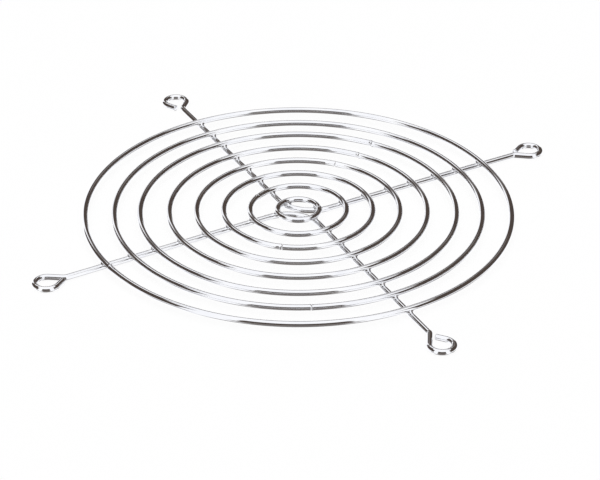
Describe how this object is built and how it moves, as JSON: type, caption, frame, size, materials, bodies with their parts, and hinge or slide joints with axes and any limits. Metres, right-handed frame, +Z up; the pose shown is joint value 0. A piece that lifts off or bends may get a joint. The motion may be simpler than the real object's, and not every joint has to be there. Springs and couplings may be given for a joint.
{
  "type": "wire fan guard",
  "caption": "Flat round finger guard of plated wire for a square fan: concentric rings welded across two bent support wires whose ends form screw eyes.",
  "frame": {"origin": "centre of the square of fixing holes, at the underside of the support wires, which is where the guard rests", "axes": "+Z up out of the fan's face, with the rings above the support wires; +X and +Y along the sides of the hole square"},
  "size_m": [0.1164, 0.1164, 0.0031],
  "materials": {
    "ring_plating": "bright plated wire",
    "support_plating": "bright plated wire"
  },
  "bodies": {
    "root": {"hub_ring": "ring_plating", "ring_2": "ring_plating", "ring_3": "ring_plating", "ring_4": "ring_plating", "ring_5": "ring_plating", "ring_6": "ring_plating", "ring_7": "ring_plating", "outer_ring": "ring_plating", "back_support": "support_plating", "front_support": "support_plating"}
  },
  "joints": []
}
